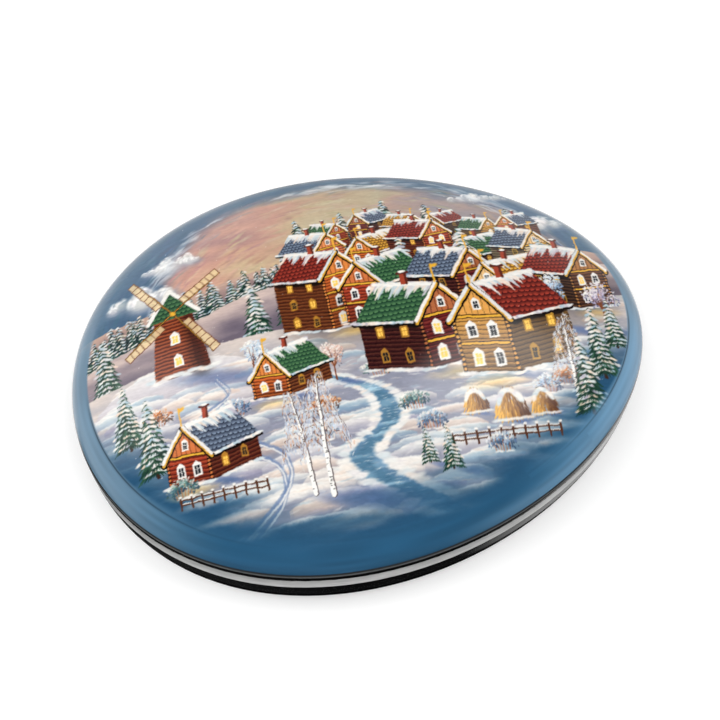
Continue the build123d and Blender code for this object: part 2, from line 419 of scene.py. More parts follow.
def snow_tint(spread=0.5):
    """One of the painter's whites."""
    pick = RNG.random()
    shade = SNOW_SHADE if pick < 0.45 else SNOW_LILAC if pick < 0.65 else SNOW_WARM
    return mixed(SNOW_LIGHT, shade, RNG.random() * spread)


def egg_share(x, y):
    """0 in the middle of the lid and about 1 at the edge of the picture."""
    across = x / PICTURE_HALF_X
    return np.hypot(across, y / (PICTURE_HALF_Y * (1.0 - EGG_TAPER * across)))


def hand_drawn(c):
    """Lets every edge waver a little, as a brush would leave it, and adds the grain of the strokes."""
    region, x, y = c.whole()
    shifts = []
    for _ in range(2):
        noise = smooth_noise(x, y, 1.6, 1.6) + 0.6 * smooth_noise(x, y, 0.6, 0.6) - 0.8
        shifts.append(np.rint(WAVER * c.scale * noise).astype(int))
    column = np.clip(np.arange(c.columns)[None, :] + shifts[0], 0, c.columns - 1)
    row = np.clip(np.arange(c.rows)[:, None] + shifts[1], 0, c.rows - 1)
    region[:] = region[row, column]
    grain = 0.6 * smooth_noise(x, y, 1.3, 0.28) + 0.4 * smooth_noise(x + y, y, 0.5, 0.4)
    region *= (0.95 + 0.10 * grain)[..., None]


# Sky

def blue_start(x, y):
    turn = np.degrees(np.arctan2(y / PICTURE_HALF_Y, x / PICTURE_HALF_X))
    return np.interp(turn, BLUE_TURNS, BLUE_STARTS)


def round_edge(x, y):
    """Direction that runs along the edge of the picture."""
    return np.arctan2(x * (PICTURE_HALF_Y / PICTURE_HALF_X) ** 2, -y)


def sky_tone(x, y, noise):
    """Rose and cream in the middle, slate blue round the edge."""
    reach = egg_share(x, y) + 0.10 * (noise - 0.5)
    rosy = ramp(SKY_STOPS, x + 70.0 * (noise - 0.5)) * (0.90 + 0.20 * np.asarray(noise)[..., None])
    slate = mixed(SLATE_DEEP, SLATE_RIM, smooth_step(0.90, 1.05, reach))
    return mixed(rosy, slate, smooth_step(-0.07, 0.05, reach - blue_start(x, y)))


def paint_sky(c):
    region, x, y = c.whole()
    noise = smooth_noise(x, y, 24.0, 7.0) * 0.6 + smooth_noise(x, y, 8.0, 2.5) * 0.4
    region[:] = sky_tone(x, y, noise)
    for _ in range(SKY_STROKES):
        x0, y0 = RNG.uniform(-69, 69), RNG.uniform(0, 52)
        tone = sky_tone(np.array(x0), np.array(y0), RNG.normal(0.5, 0.3))
        c.dab(x0, y0, RNG.uniform(3, 9), RNG.uniform(0.6, 1.6), round_edge(x0, y0) + RNG.normal(0, 0.12),
              jitter(tone, 0.05), 0.55, 0.2)


def cloud_sweep(c, count, tones, inward, alpha):
    """Long strokes of cloud, in clumps, along the line where the rosy sky meets the blue."""
    for turn in np.radians(RNG.uniform(2, 178, count)):
        clump = 0.5 + 0.5 * np.sin(6.0 * turn + 2.6) * np.sin(2.3 * turn + 0.4)
        if RNG.random() > clump:
            continue
        across, away = np.cos(turn), np.sin(turn)
        reach = np.interp(np.degrees(turn), BLUE_TURNS, BLUE_STARTS) + RNG.normal(0.02, 0.022) - inward
        x0 = PICTURE_HALF_X * reach * across
        y0 = PICTURE_HALF_Y * reach * away * (1.0 - EGG_TAPER * across)
        c.dab(x0, y0, RNG.uniform(2.5, 9.0), RNG.uniform(0.4, 1.5), round_edge(x0, y0) + RNG.normal(0, 0.10),
              mixed(*tones, RNG.random()), alpha * RNG.uniform(0.4, 1.0), 0.15)


def cloud(c, x0, y0, width, height):
    """Soft billows: slate below, cream in the body, white strokes round the lit side."""
    puffs = []
    for _ in range(int(5 + width * 0.6)):
        place = RNG.uniform(-1, 1)
        arch = np.sqrt(1.0 - place * place)
        radius = height * (0.15 + 0.24 * arch) * RNG.uniform(0.7, 1.25)
        puffs.append((x0 + place * width / 2, y0 + height * (0.5 * arch * RNG.random() - 0.12), radius))
    for px, py, r in puffs:
        tone = jitter(CLOUD_SHADE, 0.03)
        c.dab(px + 0.3 * r, py - 0.55 * r, 4.2 * r, 2.0 * r, 0.0, tone, 0.4, 0.1)
    for px, py, r in sorted(puffs, key=lambda puff: -puff[1]):
        c.dab(px, py, 2.5 * r, 2.0 * r, RNG.normal(0, 0.2), jitter(CLOUD_BODY, 0.03), 0.6, 0.2)
        for turn in RNG.uniform(0.3, 3.1, 9):
            out = RNG.uniform(0.3, 0.95) * r
            tone = jitter(CLOUD_LIT, 0.03)
            c.dab(px + out * np.cos(turn), py + 0.9 * out * np.sin(turn), r * RNG.uniform(0.7, 1.3),
                  r * RNG.uniform(0.25, 0.5), turn + 1.57, tone, RNG.uniform(0.3, 0.75), 0.2)


# Ground and stream

def wavy(level, swell, length, phase, bow):
    """A gently rolling line across the picture, lower at its ends."""
    xs = np.linspace(-CANVAS_HALF_X, CANVAS_HALF_X, 80)
    ys = level + swell * np.sin(xs / length + phase) + 0.4 * swell * np.sin(xs / (length * 0.37))
    ys = ys - bow * (xs / CANVAS_HALF_X) ** 2
    return list(zip(xs.tolist(), ys.tolist()))


def paint_field(c, crest, top, foot, depth):
    """A rolling field that darkens away from its crest."""
    line = wavy(*crest)
    xs, ys = zip(*line)

    def tone(x, y):
        share = (np.interp(x, xs, ys) - y) / depth
        noise = smooth_noise(x, y, 7.0, 1.6)
        return mixed(top, foot, clamp(share + 0.5 * (noise - 0.5)))

    c.below(line, tone)


def drift(c, x0, y0, wide, tall, shade):
    """A bank of snow: a crisp lit crest, shaded towards its foot."""
    lean = RNG.uniform(-0.35, 0.35)
    crest = []
    for v in np.linspace(-1, 1, 15):
        bulge = 1 - v * v
        crest.append((x0 + wide / 2 * (v + 0.4 * lean * bulge), y0 + tall * bulge ** 0.8))
    low = y0 - tall * 0.9

    def tone(x, y):
        share = clamp((y0 + tall - y) / (1.7 * tall)) + 0.0 * x
        return mixed(SNOW_LIGHT, shade, share ** 0.8)

    c.fill(crest + [(x0 + wide / 2, low), (x0 - wide / 2, low)], tone, 0.12, 0.85, 1.5 * tall)
    c.stroke(crest[2:-2], 0.3, 0.14, SNOW_LIGHT, 0.7, 0.15)


def snow_field(c, low_y, high_y, count):
    """Rows of drifts from far to near, and loose brushwork over them."""
    for y0 in np.sort(RNG.uniform(low_y, high_y, count))[::-1]:
        near = np.clip((14 - y0) / 44.0, 0.15, 1.0)
        wide, tall = RNG.uniform(9, 22) * near + 3, RNG.uniform(0.8, 2.0) * near + 0.3
        drift(c, RNG.uniform(-64, 64), y0, wide, tall, snow_tint(2.0))
    for _ in range(count * 6):
        x0, y0 = RNG.uniform(-66, 66), RNG.uniform(low_y, high_y)
        near = np.clip((16 - y0) / 44.0, 0.2, 1.0)
        c.dab(x0, y0, RNG.uniform(2, 6) * near + 0.8, RNG.uniform(0.25, 0.7) * near + 0.12,
              RNG.normal(0.0, 0.16), snow_tint(1.0), RNG.uniform(0.25, 0.6), 0.25)


def winding(points, count):
    """A smooth line through some points."""
    p = np.asarray([points[0], *points, points[-1]], float)
    line = []
    for s in np.linspace(0.0, len(points) - 1.001, count):
        k = int(s)
        t = s - k
        a, b, c, d = p[k:k + 4]
        bend = 2 * a - 5 * b + 4 * c - d
        twist = 3 * b - a - 3 * c + d
        line.append(tuple(0.5 * (2 * b + (c - a) * t + bend * t ** 2 + twist * t ** 3)))
    return line


def frozen_stream(c):
    """A stream of blue ice that winds between banks of snow, wider as it comes nearer."""
    count = 70
    line = winding(STREAM, count)
    widths = np.linspace(*STREAM_WIDTHS, count)
    left = [(x - w / 2, y) for (x, y), w in zip(line, widths)]
    right = [(x + w / 2, y) for (x, y), w in zip(line, widths)]

    def tone(x, y):
        glint = np.clip(smooth_noise(x, y, 7.0, 1.0) * 1.7 - 0.8, 0.0, 0.8)
        return mixed(mixed(WATER_DEEP, WATER_LIGHT, 0.5), ICE_GLINT, glint)

    c.fill(left + right[::-1], tone, 0.2)
    for (x0, y0), w in zip(line, widths):
        for _ in range(3):
            c.dab(x0 + RNG.uniform(-0.4, 0.4) * w, y0, 0.35 * w, 0.3, RNG.normal(0, 0.1),
                  mixed(WATER_DEEP, SNOW_LIGHT, RNG.random()), 0.5, 0.2)
        size = 0.25 * w + 0.5
        for side in (-1, 1):
            edge = x0 + side * w / 2
            c.dab(edge, y0 - 0.3 * size, 1.8 * size, 0.5 * size, 0.0, BANK_SHADE, 0.5, 0.3)
            c.dab(edge + 0.5 * side * size, y0 + RNG.uniform(-0.1, 0.3) * size, 2.0 * size, 0.7 * size,
                  RNG.normal(0, 0.15), snow_tint(0.35), 0.9, 0.5)


def sledge_track(c):
    """Two ruts in the snow."""
    count = 50
    line = winding(TRACK, count)
    gaps = np.linspace(*TRACK_WIDTHS, count)
    for side in (-0.5, 0.5):
        rut = [(x + 0.6 * side * gap, y + side * gap) for (x, y), gap in zip(line, gaps)]
        c.stroke(rut, 0.35, 1.3, RUT_SHADE, 0.8, 0.2)
        c.stroke([(x, y - 0.4) for x, y in rut], 0.12, 0.5, SNOW_LIGHT, 0.85, 0.12)


def mill_hill(c):
    """The mill's own hill: one broad bank with smaller ones on its side."""
    x0, y0, wide, tall = MILL_HILL
    drift(c, x0, y0, wide, tall, SNOW_LILAC)
    for level in np.linspace(0.75, -0.6, 26):
        place = x0 + RNG.uniform(-0.42, 0.42) * wide
        drift(c, place, y0 + level * tall * (1.0 - ((place - x0) / wide * 2) ** 2), RNG.uniform(6, 14),
              RNG.uniform(0.7, 1.5), snow_tint(2.0))


def long_shadow(c, x0, y0, size):
    """The evening shadow of something on the snow, in soft strokes to the right."""
    for _ in range(9):
        reach = size * RNG.uniform(0.5, 1.1)
        foot = x0 + RNG.normal(0, 0.12) * size
        c.dab(foot + 0.45 * reach, y0 - 0.14 * reach, reach, 0.16 * size, -0.3, LONG_SHADE, 0.22, 0.2)


def blue_foreground(c):
    """Lets the ground sink into blue shade towards the front edge."""
    region, x, y = c.whole()
    noise = smooth_noise(x, y, 9.0, 1.6)
    edge = smooth_step(0.76, 1.0, egg_share(x, y) + 0.14 * (noise - 0.5))
    lay(region, edge * smooth_step(-4.0, -22.0, y), WATER_DEEP)


# Trees and bushes

def fir(c, x0, y0, tall, lush=FIR_GREEN, snow=0.55):
    """Tiers of drooping boughs with snow along their upper sides."""
    spread = tall * 0.27
    c.stroke([(x0, y0), (x0, y0 + tall * 0.95)], tall * 0.05, 0.1, FIR_TRUNK)
    tiers = int(6 + tall * 0.5)
    for i in range(tiers):
        level = i / tiers
        reach = spread * (1.0 - level) ** 0.85 + 0.2
        y1 = y0 + tall * (0.10 + 0.88 * level)
        boughs = int(5 + 9 * (1 - level))
        for k in range(boughs):
            side = -1.0 + 2.0 * (k + RNG.uniform(0.2, 0.8)) / boughs
            droop = reach * (0.28 + 0.22 * abs(side)) + RNG.normal(0, 0.006 * tall)
            bend = (x0 + side * reach * 0.55, y1 - reach * 0.10)
            shade = jitter(mixed(lush, FIR_LIT, RNG.random() ** 3), 0.03)
            bough = [(x0 + side * 0.1, y1), bend, (x0 + side * reach, y1 - droop)]
            c.stroke(bough, 0.055 * tall + 0.12, 0.14, shade)
        for _ in range(int(boughs * snow * 1.6)):
            side = RNG.uniform(-1, 1) * RNG.uniform(0.35, 1.0)
            y2 = y1 - reach * 0.30 * abs(side) + RNG.uniform(-0.02, 0.05) * tall / 6
            size = RNG.uniform(0.05, 0.11) * tall ** 0.8 + 0.12
            c.dab(x0 + side * reach, y2, size * 1.9, size * 0.75, -0.5 * np.sign(side),
                  snow_tint(0.9), 0.92, 0.5)


def frost_puff(c, x0, y0, radius, frost, count, size):
    """One lump of a frosted crown: dark touches first, then light ones on its upper left."""
    turn = RNG.uniform(0, 2 * np.pi, count)
    out = np.sqrt(RNG.random(count))
    light = 0.5 + 0.5 * out * np.sin(turn) - 0.25 * out * np.cos(turn) + RNG.normal(0, 0.1, count)
    deep = mixed(frost, FROST_DEEP, 0.75)
    for k in np.argsort(light):
        lit = clamp(light[k])
        shade = mixed(mixed(deep, frost, min(1.0, 2.0 * lit)), SNOW_LIGHT, max(0.0, 1.8 * lit - 0.8))
        grain = size * RNG.uniform(0.7, 1.3)
        c.dab(x0 + 1.15 * radius * out[k] * np.cos(turn[k]), y0 + radius * out[k] * np.sin(turn[k]),
              grain * 1.5, grain * 0.75, turn[k] + RNG.normal(0, 0.5), jitter(shade, 0.03), 0.9, 0.55)


def frosted_tree(c, x0, y0, tall, frost):
    """A crown full of hoar frost on a brown trunk."""
    fork = (x0 + RNG.normal(0, 0.02) * tall, y0 + tall * 0.36)
    c.stroke([(x0, y0), fork], 0.055 * tall, 0.03 * tall, BARK)
    lumps = []
    for _ in range(13):
        share = RNG.uniform(0.46, 0.92)
        inward = 1.0 - 0.75 * max(0.0, share - 0.6) / 0.32
        lumps.append((x0 + RNG.uniform(-0.3, 0.3) * tall * inward, y0 + share * tall))
    for spot in lumps:
        c.stroke([fork, spot], 0.028 * tall, 0.1, BARK)
    for x1, y1 in sorted(lumps, key=lambda lump: -lump[1]):
        frost_puff(c, x1, y1, tall * RNG.uniform(0.12, 0.17), frost, 34, 0.5 * (tall / 12.0) ** 0.5)
    for spot in lumps[:6]:
        c.stroke([fork, spot], 0.22, 0.1, BARK, 0.75)


def birch_bough(c, x1, y1, side, reach):
    """A bough that rises and then hangs, with frosted twigs and a few leaves along it."""
    bough = placed(x1, y1, side * reach, reach, ((0, 0), (0.4, 0.5), (0.8, 0.42), (1.1, -0.3)))
    c.stroke(bough, 0.24, 0.08, BIRCH_TWIG)
    for _ in range(int(14 + 8 * reach)):
        i, t = RNG.integers(0, 3), RNG.random()
        px, py = between(bough[i], bough[i + 1], t)
        px, py = px + RNG.normal(0, 0.2), py - RNG.uniform(-0.3, 1.9)
        pick = RNG.random()
        shade = mixed(BIRCH_FROST, SNOW_LIGHT, RNG.random()) if pick < 0.85 else BIRCH_LEAF
        c.dab(px, py, RNG.uniform(0.7, 1.6), 0.26, 1.57 + RNG.normal(0, 0.18), shade, RNG.uniform(0.6, 0.95))


def birch(c, x0, y0, tall, lean):
    """A white trunk with dark marks, and a crown of hanging frosted twigs."""

    def on_trunk(s):
        return x0 + lean * tall * s * s, y0 + tall * s

    for k, s in enumerate(np.linspace(0.36, 0.98, int(tall * 0.75))):
        reach = tall * 0.24 * (1.15 - s) * RNG.uniform(0.7, 1.2) + 0.5
        birch_bough(c, *on_trunk(s), 1 if k % 2 else -1, reach)
    line = [on_trunk(s) for s in np.linspace(0, 1, 7)]
    wide = 0.045 * tall
    c.stroke([(x + 0.14, y) for x, y in line], wide + 0.25, 0.2, BIRCH_SHADE)
    c.stroke(line, wide, 0.15, BIRCH_WHITE)
    for s in RNG.uniform(0.02, 0.9, int(tall * 1.1)):
        px, py = on_trunk(s)
        width = wide * (1 - s)
        c.dab(px + RNG.uniform(-0.3, 0.35) * width, py, width * RNG.uniform(0.5, 1.0), 0.2,
              RNG.normal(0, 0.15), OUTLINE, 0.9)


def bush(c, x0, y0, wide, tall, leaf):
    """A low bush: rusty stems, leaves left from autumn, and frost above."""
    places = np.linspace(-0.9, 0.9, 6)
    for v in places:
        height = y0 + tall * (0.62 - 0.30 * v * v)
        frost_puff(c, x0 + v * wide * 0.44, height, tall * 0.34, mixed(leaf, OUTLINE, 0.35), 16, 0.55)
    for v in RNG.permutation(places):
        foot = x0 + v * wide * 0.3
        c.stroke([(foot, y0), (x0 + v * wide * 0.42, y0 + tall * 0.7)], 0.16, 0.1, BUSH_STEM, 0.9)
        height = y0 + tall * (0.70 - 0.30 * v * v)
        frost_puff(c, x0 + v * wide * 0.42, height, tall * 0.30, leaf, 18, 0.5)
    for v in RNG.uniform(-0.8, 0.8, 5):
        c.dab(x0 + v * wide * 0.5, y0 - 0.1, wide * 0.3, 0.6, 0, SNOW_LIGHT, 0.8, 0.3)


# Houses and mill

def window_frame(c, x0, y0, wide, tall, trim, pane):
    """A carved frame with a peaked head and a cross of bars."""
    half = (wide / 2, tall / 2)
    c.fill(placed(x0, y0, *half, FRAME_SHAPE), trim)
    c.fill(placed(x0, y0, *half, PANE_SHAPE), pane)
    for bar in PANE_BARS:
        c.line(*placed(x0, y0, *half, bar), 0.13, trim)


def log_lines(c, start, end, height, pitch, colour):
    """Logs on a wall: a dark joint and a lit upper side for each."""
    joint, lit = mixed(colour, OUTLINE, 0.75), mixed(colour, LOG_LIT, 0.28)
    for y in np.arange(0.0, height, pitch):
        c.line((start[0], start[1] + y), (end[0], end[1] + y), 0.2, joint, 0.85)
        upper = y + pitch * 0.6
        if upper < height:
            c.line((start[0], start[1] + upper), (end[0], end[1] + upper), 0.18, lit, 0.6)


def cottage(c, x0, y0, size, wall_name, roof_name, side=1, floors=2, windows=2):
    """A log house seen from one corner: gable end in front, long wall and shingled roof beside it.

    x0 and y0 are the foot of the corner between the walls; side is 1 if the long wall goes right."""
    wall, peak = (0.18 + 0.46 * floors) * size, 0.68 * size
    along = (side * 1.25 * size, 0.2 * size)
    base = WALLS[wall_name]
    dark = mixed(base, OUTLINE, 0.56)
    pale = mixed(base, BRASSY, 0.5)
    pitch = 0.075 * size + 0.20

    def front(share, height):
        return x0 - side * size * share, y0 + height + 0.10 * size * share

    def back(share, height):
        return x0 + along[0] * share, y0 + along[1] * share + height

    def shaded(x, y):
        return mixed(mixed(base, OUTLINE, 0.5), base, clamp((y - y0) / wall + 0.0 * x))

    c.fill([back(0, 0), back(1, 0), back(1, wall), back(0, wall)], dark)
    log_lines(c, back(0, 0), back(1, 0), wall, pitch, dark)
    c.fill([front(0, 0), front(1, 0), front(1, wall), front(0.5, wall + peak), front(0, wall)], shaded)
    log_lines(c, front(0, 0), front(1, 0), wall, pitch, base)
    c.fill([front(0.95, wall), front(0.5, wall + peak * 0.95), front(0.05, wall)], pale)
    for share in np.linspace(0.15, 0.85, 7):
        board = peak * 0.92 * (1 - abs(2 * share - 1))
        c.line(front(share, wall), front(share, wall + board), 0.16, dark, 0.8)
    for level in np.linspace(1.0 / floors, 1.0, floors):
        board = (front(0.0, wall * level), front(1.0, wall * level))
        c.line(*board, 0.07 * size + 0.16, OUTLINE, 0.9)
        c.line(*board, 0.04 * size + 0.1, GOLD)
    for share in (0.0, 1.0):
        c.line(front(share, 0), front(share, wall), 0.06 * size + 0.2, OUTLINE, 0.9)
        for height in np.arange(0.06 * size, wall, pitch):
            c.dab(*front(share, height), 0.06 * size + 0.2, 0.06 * size + 0.16, 0.0, pale, 1.0, 0.6)
    under_eave = [back(0.12, wall * 0.93), back(0.86, wall * 0.93)]
    c.stroke(under_eave, 0.3 * size, 0.3 * size, OUTLINE, 0.75, 0.3)
    for floor in range(floors):
        level = wall * (floor + 0.45) / floors
        for k in range(windows):
            pane = LAMP_LIT if RNG.random() < 0.45 else PANE_DIM
            spot = front((k + 0.75) / (windows + 0.5), level)
            window_frame(c, *spot, 0.15 * size, 0.22 * size, SNOW_LIGHT, pane)
            pane = LAMP_LIT if RNG.random() < 0.4 else PANE_DIM
            spot = back((k + 0.8) / (windows + 0.6), level)
            window_frame(c, *spot, 0.12 * size, 0.20 * size, mixed(GOLD, dark, 0.35), pane)
    window_frame(c, *front(0.5, wall + peak * 0.36), 0.12 * size, 0.17 * size, SNOW_LIGHT, PANE_DIM)
    cottage_roof(c, x0, y0 + wall, size, ROOFS[roof_name], side, peak, along)
    c.dab(*front(0.5, -0.2 * size), 1.5 * size, 0.34 * size, 0.0, LAMP_LIT, 0.4, 0.1)
    for _ in range(int(8 + 2 * size)):
        s = RNG.random()
        px, py = front(s * 1.15 - 0.05, 0) if RNG.random() < 0.45 else back(s * 1.05, 0)
        c.dab(px, py - 0.03 * size, 0.30 * size, RNG.uniform(0.06, 0.11) * size, RNG.normal(0.0, 0.1),
              snow_tint(), 0.95, 0.45)


def shingle_tone(colours, size):
    """Rows of rounded shingles: dark in the gaps, lit towards their lower ends."""
    row = 0.085 * size + 0.22

    def tone(x, y):
        course = np.floor(y / row)
        within = y / row - course
        scallop = np.abs((x / (row * 1.05) + 0.5 * (course % 2)) % 1.0 - 0.5) * 2.0
        lit = clamp(1.25 - within - 0.2 * scallop) * (within > 0.42 * scallop ** 3)
        return mixed(*colours, lit)

    return tone


def cottage_roof(c, x0, wall_top, size, colours, side, peak, along):
    """Shingles with snow left on the ridge and the eaves, carved boards, a gilt vane and a chimney."""
    over = 0.09 * size
    thick = 0.05 * size + 0.12
    ridge = (x0 - side * size * 0.5, wall_top + peak + 0.05 * size)
    eave = (x0 + side * over, wall_top - over * 1.2)
    far_eave = (x0 - side * (size + over), wall_top + 0.10 * size - over * 1.2)

    def moved(point, share):
        return point[0] + along[0] * share, point[1] + along[1] * share

    c.line(eave, moved(eave, 1), 0.10 * size, OUTLINE)
    c.fill([eave, moved(eave, 1), moved(ridge, 1), ridge], shingle_tone(colours, size), 0.1)
    for s in np.linspace(0.0, 1.0, int(9 + size * 1.8)):
        top, foot = moved(ridge, s), moved(eave, s)
        end = between(top, foot, RNG.uniform(0.08, 0.5) ** 1.3)
        c.stroke([(top[0], top[1] + 0.1), end], 0.10 * size + 0.2, 0.2, snow_tint(0.7), 0.95, 0.12)
        c.dab(foot[0], foot[1] + thick * 0.5, 0.14 * size + 0.3, thick * RNG.uniform(0.8, 1.8), 0.1 * side,
              snow_tint(0.8), 1.0, 0.6)
    c.line(ridge, moved(ridge, 1), thick * 1.2, SNOW_LIGHT)
    for start in (far_eave, eave):
        c.line(start, ridge, 0.15 * size, OUTLINE)
        c.line(start, ridge, 0.075 * size, GOLD, 0.95)
        raised = [(start[0], start[1] + thick), (ridge[0], ridge[1] + thick)]
        c.stroke(raised, thick * 1.3, thick, snow_tint(0.3))
    vane = (ridge[0], ridge[1] + 0.5 * size)
    c.line((ridge[0], ridge[1] + thick), vane, 0.03 * size + 0.1, GOLD)
    c.dab(vane[0] + 0.06 * size, vane[1] - 0.04 * size, 0.24 * size, 0.12 * size, 0.3, GOLD, 1.0, 0.5)
    chimney(c, *moved(ridge, 0.5), 0.075 * size, 0.28 * size, size)


def chimney(c, x0, y0, half, tall, size):
    """A brick chimney with one side in shade, a cap and some snow."""
    top = y0 + tall
    c.fill(placed(x0, y0, half, tall, ((-1, 0), (1, 0), (1, 1), (-1, 1))), CHIMNEY)
    c.line((x0 + half * 0.6, y0), (x0 + half * 0.6, top), half * 0.7, OUTLINE, 0.5)
    c.line((x0 - half * 1.4, top), (x0 + half * 1.4, top), 0.06 * size, CHIMNEY_CAP)
    c.dab(x0, top + 0.035 * size, 0.20 * size, 0.07 * size, 0.0, SNOW_LIGHT, 1.0, 0.7)


def mill_tower(c, x0, y0, tall):
    """The mill's log tower with its shingled cap, two windows and snow at its foot."""
    w = 0.22 * tall
    top, tip = y0 + 0.58 * tall, y0 + 0.85 * tall
    c.fill(placed(x0, y0, w, tall, TOWER_SHAPE), MILL_WOOD)
    for k in np.linspace(0, 1, int(5 + tall * 0.5)):
        half = w * (1.15 - 0.37 * k)
        y1 = y0 + 0.58 * tall * k
        c.line((x0 - half, y1), (x0 + half, y1), 0.15, OUTLINE, 0.7)
        if k < 1:
            c.line((x0 - half, y1 + 0.5), (x0 + 0.5 * half, y1 + 0.5), 0.3, MILL_LIT, 0.6)
    for share in (0.55, 0.75, 0.95):
        c.stroke([(x0 + w * share, y0), (x0 + w * share * 0.7, top)], 0.5 * w, 0.3 * w, OUTLINE, 0.22, 0.8)
    eaves = top - 0.01 * tall
    c.fill([(x0 - w, eaves), (x0 + w, eaves), (x0, tip)], shingle_tone(ROOFS["green"], 0.4 * tall))
    c.stroke([(x0 - w * 1.05, top + 0.1), (x0, tip + 0.02 * tall), (x0 + w * 1.05, top + 0.1)],
             0.04 * tall, 0.04 * tall, SNOW_LIGHT)
    for level in (0.14, 0.36):
        spot = (x0 - 0.02 * tall, y0 + level * tall)
        window_frame(c, *spot, 0.06 * tall, 0.08 * tall, SNOW_LIGHT, LAMP_LIT)
    for v in np.linspace(-1.3, 1.3, 12):
        c.dab(x0 + v * w, y0 + RNG.uniform(-0.01, 0.025) * tall, 0.14 * tall, 0.05 * tall, 0.0,
              snow_tint(), 0.95, 0.45)


def mill_sail(c, hub, tall, turn):
    """One lattice sail on its gilt pole."""
    ax, ay = np.cos(turn), np.sin(turn)

    def on_sail(share, across):
        return (hub[0] + tall * (share * ax - across * ay), hub[1] + tall * (share * ay + across * ax))

    foot, tip, far_tip, far_foot = [on_sail(*corner) for corner in SAIL_SHAPE]
    c.fill([foot, tip, far_tip, far_foot], SAIL_CLOTH, 0.07, 0.85)
    for share in np.linspace(SAIL_SHAPE[0][0], SAIL_SHAPE[1][0], 8):
        c.line(on_sail(share, 0), on_sail(share, SAIL_SHAPE[2][1]), 0.2, SAIL_LATH)
    c.line(far_foot, far_tip, 0.2, SAIL_LATH)
    c.stroke([hub, tip], 0.5, 0.3, SAIL_POLE)
    c.stroke([hub, tip], 0.16, 0.10, GOLD)


def windmill(c, x0, y0, tall, turn):
    """A log mill with a shingled cap and four lattice sails."""
    mill_tower(c, x0, y0, tall)
    hub = (x0 - 0.1, y0 + 0.62 * tall)
    for k in range(4):
        mill_sail(c, hub, tall, turn + k * np.pi / 2)
    c.dab(*hub, 0.06 * tall, 0.06 * tall, 0, GOLD, 1.0, 0.6)


def house_row(c, foot, fall, size, places, first, windows):
    """Houses side by side, their colours in turn and the tallest in the middle."""
    walls, roofs = list(WALLS), list(ROOFS)
    for k, x0 in enumerate(places):
        floors = 1 + (first + k) % 2 + (abs(x0) < 25)
        y0 = foot - fall * (x0 / 60) ** 2
        c.dab(x0, y0 + 0.5 * size, 3.0 * size, 2.6 * size, 0.0, OUTLINE, 0.5, 0.2)
        cottage(c, x0, y0, size, walls[(first + 2 * k) % len(walls)], roofs[(first + 3 * k) % len(roofs)],
                1 if k % 2 else -1, floors, windows)


# Farmyard

def fence(c, x0, y0, x1, y1, tall):
    """A rail fence with snow along its rails and on its posts."""
    count = int(abs(x1 - x0) / tall) + 2
    posts = list(zip(np.linspace(x0, x1, count), np.linspace(y0, y1, count)))
    for level in (0.35, 0.72):
        c.stroke([(x, y + level * tall) for x, y in posts], 0.13 * tall, 0.13 * tall, FENCE_WOOD)
        c.stroke([(x, y + (level + 0.08) * tall) for x, y in posts], 0.07 * tall, 0.07 * tall, SNOW_LIGHT)
    for x, y in posts:
        c.line((x, y), (x, y + tall), 0.16 * tall, FENCE_WOOD)
        c.dab(x, y + tall, 0.36 * tall, 0.24 * tall, 0.0, SNOW_LIGHT, 1.0, 0.5)


def haystack(c, x0, y0, size):
    """A round stack of hay under a cap of snow."""
    c.dab(x0 + 0.2 * size, y0, 1.5 * size, 0.3 * size, 0.0, HAY_SHADE, 0.6, 0.3)
    for _ in range(260):
        turn = RNG.uniform(0.0, np.pi)
        out = np.sqrt(RNG.random())
        across = out * np.cos(turn)
        lit = clamp(0.5 - 0.55 * across + RNG.normal(0, 0.18))
        c.dab(x0 + 0.5 * size * across, y0 + 0.85 * size * out * np.sin(turn), 0.28 * size, 0.06 * size,
              np.pi / 2 + 0.6 * across, mixed(HAY_DARK, HAY_LIT, lit), 0.95, 0.5)
    for turn in np.pi * np.linspace(0.22, 0.78, 11):
        c.dab(x0 + 0.42 * size * np.cos(turn), y0 + 0.82 * size * np.sin(turn), 0.34 * size, 0.2 * size,
              turn + np.pi / 2, snow_tint(0.5), 1.0, 0.5)
    for v in np.linspace(-0.5, 0.5, 6):
        c.dab(x0 + v * size, y0, 0.4 * size, 0.12 * size, 0.0, snow_tint(0.4), 0.9, 0.4)


# The whole picture

def paint_far(c):
    """Sky, clouds, and what stands on the slopes behind the snow field."""
    paint_sky(c)
    cloud_sweep(c, *DARK_SWEEP)
    for spot in CLOUDS:
        cloud(c, *spot)
    cloud_sweep(c, *LIGHT_SWEEP)
    paint_field(c, *FAR_FIELD)
    for spot in RIDGE_FIRS:
        fir(c, *spot, RIDGE_GREEN, 0.35)
    house_row(c, *FAR_ROW)
    for x0 in np.linspace(*FOREST):
        fir(c, x0 + RNG.normal(0, 0.6), 13 - 6 * (x0 / 60) ** 2, RNG.uniform(7, 12), FOREST_GREEN, 0.4)
    paint_field(c, *MIDDLE_FIELD)
    house_row(c, *UPPER_ROW)
    for spot in TOWN_FIRS:
        fir(c, *spot)


def paint_near(c):
    """Houses, trees and farmyard on the snow field, from far to near."""
    things = ((cottage, NEAR_HOUSES), (haystack, HAYSTACKS), (fence, FENCES), (fir, NEAR_FIRS),
              (birch, BIRCHES))
    near = [(paint, spot) for paint, spots in things for spot in spots]
    near += [(bush, (*spot, *BUSH_SIZE, LEAVES[k % 4])) for k, spot in enumerate(BUSHES)]
    near += [(frosted_tree, (*spot, FROSTS[k % 3])) for k, spot in enumerate(FROSTED)]
    for paint, spot in sorted(near, key=lambda thing: -thing[1][1]):
        paint(c, *spot)


